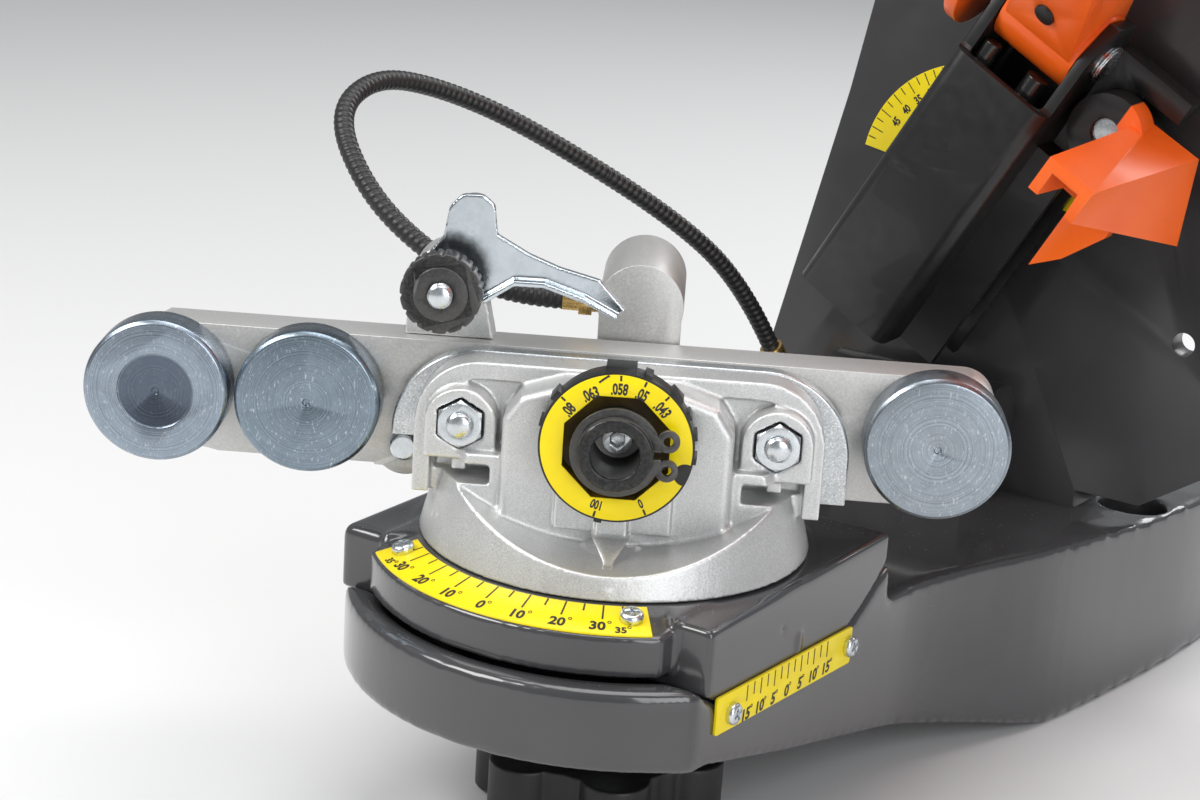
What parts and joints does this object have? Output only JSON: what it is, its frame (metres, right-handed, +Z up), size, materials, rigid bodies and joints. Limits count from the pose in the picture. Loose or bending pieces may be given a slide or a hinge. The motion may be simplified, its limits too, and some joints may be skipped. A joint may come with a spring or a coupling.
{
  "type": "saw chain grinder",
  "caption": "Bench-mounted electric saw-chain sharpener: swivelling chain vise with gauge dial and chain stop, tilting column, swing-down grinding head.",
  "frame": {"origin": "centre of the four bench bolts, at the bench face under the foot", "axes": "+Z up from the bench, +Y to the back, -Y towards the operator and the vise nose, +X to the operator's right"},
  "size_m": [0.3243, 0.3203, 0.4436],
  "materials": {
    "grey_enamel": "gloss enamel, orange peel",
    "zinc": "zinc plate",
    "yellow_plate": "printed plate",
    "black_paint": "satin",
    "brass": "bright",
    "hose_rubber": "ribbed sheath",
    "black_plastic": "satin moulded",
    "cast_aluminium": "blasted die casting",
    "plain_aluminium": "satin",
    "black_oxide": "black oxide",
    "turned_steel": "turned",
    "orange_plastic": "moulded",
    "copper_winding": "enamelled copper",
    "grip_rubber": "soft grip",
    "abrasive": "vitrified grit",
    "red_plastic": "gloss"
  },
  "bodies": {
    "base": {"arm_casting": "grey_enamel", "upright_bracket": "grey_enamel", "bracket_bolts": "zinc", "side_scale_plate": "yellow_plate", "side_scale_screws": "zinc", "head_scale_plate": "yellow_plate", "master_cylinder": "black_paint", "hose_elbow": "brass", "tilt_pivot_hardware": "zinc", "hose_rear": "hose_rubber"},
    "cradle": {"cradle_block": "grey_enamel", "arc_scale_plate": "yellow_plate", "arc_scale_screws": "zinc", "lock_stud": "zinc", "hose_front": "hose_rubber"},
    "clamp_knob": {"lock_knob": "black_plastic"},
    "turntable": {"vise_body": "cast_aluminium", "rear_jaw_bar": "plain_aluminium", "jaw_studs": "zinc", "jaw_nuts": "zinc", "bar_pins": "zinc", "dial_spindle": "black_oxide", "spindle_circlip": "black_oxide", "spindle_screw": "zinc", "stop_bracket": "cast_aluminium", "stop_rod": "zinc", "clamp_cylinder": "plain_aluminium", "brass_fitting": "brass"},
    "front_jaw": {"front_jaw_plate": "zinc"},
    "ram": {"clamp_ram": "turned_steel"},
    "disc_outer": {"chain_disc_outer": "turned_steel"},
    "disc_inner": {"chain_disc_inner": "turned_steel"},
    "disc_right": {"chain_disc_right": "turned_steel"},
    "dial": {"gauge_dial": "black_plastic", "dial_label": "yellow_plate"},
    "thumb": {"thumbwheel": "black_oxide"},
    "pawl": {"chain_stop_pawl": "zinc"},
    "column": {"tilt_column": "black_plastic", "hinge_pin": "turned_steel", "hinge_cap": "orange_plastic", "rest_posts": "black_oxide", "tilt_lock_stud": "zinc"},
    "lock_lever": {"tilt_lock_lever": "orange_plastic"},
    "head": {"swing_arm": "orange_plastic", "wheel_housing": "orange_plastic", "housing_cover": "black_plastic", "cover_screws": "zinc", "stator": "copper_winding", "motor_bearings": "turned_steel", "motor_housing": "orange_plastic", "motor_end_cap": "black_plastic", "handle_bracket": "black_paint", "handle_grip": "grip_rubber", "cable_gland": "black_plastic"},
    "rotor": {"rotor_shaft": "turned_steel", "wheel_flanges": "turned_steel", "grinding_wheel": "abrasive", "wheel_nut": "zinc"},
    "rocker": {"rocker_switch": "red_plastic"},
    "depth_stop": {"depth_stop_screw": "black_plastic"}
  },
  "joints": [
    {"name": "cradle_tilt", "type": "hinge", "parent": "base", "child": "cradle", "pos_m": [0, -0.209, 0.12], "axis": [1, 0, 0], "range_deg": [-15, 15], "deforming": ["hose_rear"]},
    {"name": "clamp_knob_turn", "type": "hinge", "parent": "cradle", "child": "clamp_knob", "pos_m": [0, -0.209, 0.012], "axis": [0, 0, 1], "range_deg": [-20, 340]},
    {"name": "vise_swivel", "type": "hinge", "parent": "cradle", "child": "turntable", "pos_m": [0, -0.209, 0.072], "axis": [0, 0, 1], "range_deg": [-65, 5], "deforming": ["hose_front"]},
    {"name": "jaw_gap", "type": "slide", "parent": "turntable", "child": "front_jaw", "axis": [-0.5, 0.866, 0], "range_m": [-0.00045, 0.00063]},
    {"name": "dial_turn", "type": "hinge", "parent": "turntable", "child": "dial", "pos_m": [0.015, -0.23498, 0.104], "axis": [0.5, -0.866, 0], "range_deg": [-60, 84]},
    {"name": "ram_push", "type": "slide", "parent": "turntable", "child": "ram", "axis": [0.5, -0.866, 0], "range_m": [0, 0.0009]},
    {"name": "disc_outer_spin", "type": "hinge", "parent": "turntable", "child": "disc_outer", "pos_m": [-0.09283, -0.26721, 0.101], "axis": [-0.5, 0.866, 0], "continuous": true},
    {"name": "disc_inner_spin", "type": "hinge", "parent": "turntable", "child": "disc_inner", "pos_m": [-0.06191, -0.24936, 0.101], "axis": [-0.5, 0.866, 0], "continuous": true},
    {"name": "disc_right_spin", "type": "hinge", "parent": "turntable", "child": "disc_right", "pos_m": [0.06609, -0.17546, 0.101], "axis": [-0.5, 0.866, 0], "continuous": true},
    {"name": "thumbwheel_turn", "type": "hinge", "parent": "turntable", "child": "thumb", "pos_m": [-0.03341, -0.23753, 0.1302], "axis": [-0.5, 0.866, 0], "continuous": true},
    {"name": "pawl_lift", "type": "hinge", "parent": "turntable", "child": "pawl", "pos_m": [-0.03741, -0.2306, 0.1302], "axis": [0.5, -0.866, 0], "range_deg": [0, 55], "stiffness_Nm_per_rad": 0.02, "springref_deg": -85.94},
    {"name": "head_tilt", "type": "hinge", "parent": "base", "child": "column", "pos_m": [0.011, -0.051, 0.13505], "axis": [0, 1, 0], "range_deg": [-30, 5]},
    {"name": "tilt_lock", "type": "hinge", "parent": "column", "child": "lock_lever", "pos_m": [0.0578, -0.073, 0.15993], "axis": [0, 1, 0], "range_deg": [-30, 5]},
    {"name": "head_swing", "type": "hinge", "parent": "column", "child": "head", "pos_m": [0.04, -0.067, 0.18528], "axis": [0.866, 0, -0.5], "range_deg": [0, 50], "stiffness_Nm_per_rad": 8, "springref_deg": -57.3},
    {"name": "wheel_spin", "type": "hinge", "parent": "head", "child": "rotor", "pos_m": [0.13048, -0.15483, 0.26199], "axis": [0.866, 0, -0.5], "continuous": true},
    {"name": "switch_rock", "type": "hinge", "parent": "head", "child": "rocker", "pos_m": [0.16618, -0.18568, 0.28384], "axis": [0.866, 0, -0.5], "range_deg": [0, 16]},
    {"name": "depth_stop_turn", "type": "hinge", "parent": "head", "child": "depth_stop", "pos_m": [0.04919, -0.06937, 0.2012], "axis": [0.3214, 0.766, 0.5567], "continuous": true}
  ],
  "couplings": [
    {"joint": "dial_turn", "follows": "jaw_gap", "rad_per_m": 2324.8},
    {"joint": "ram_push", "follows": "head_swing", "m_per_rad": 0.0010303}
  ]
}
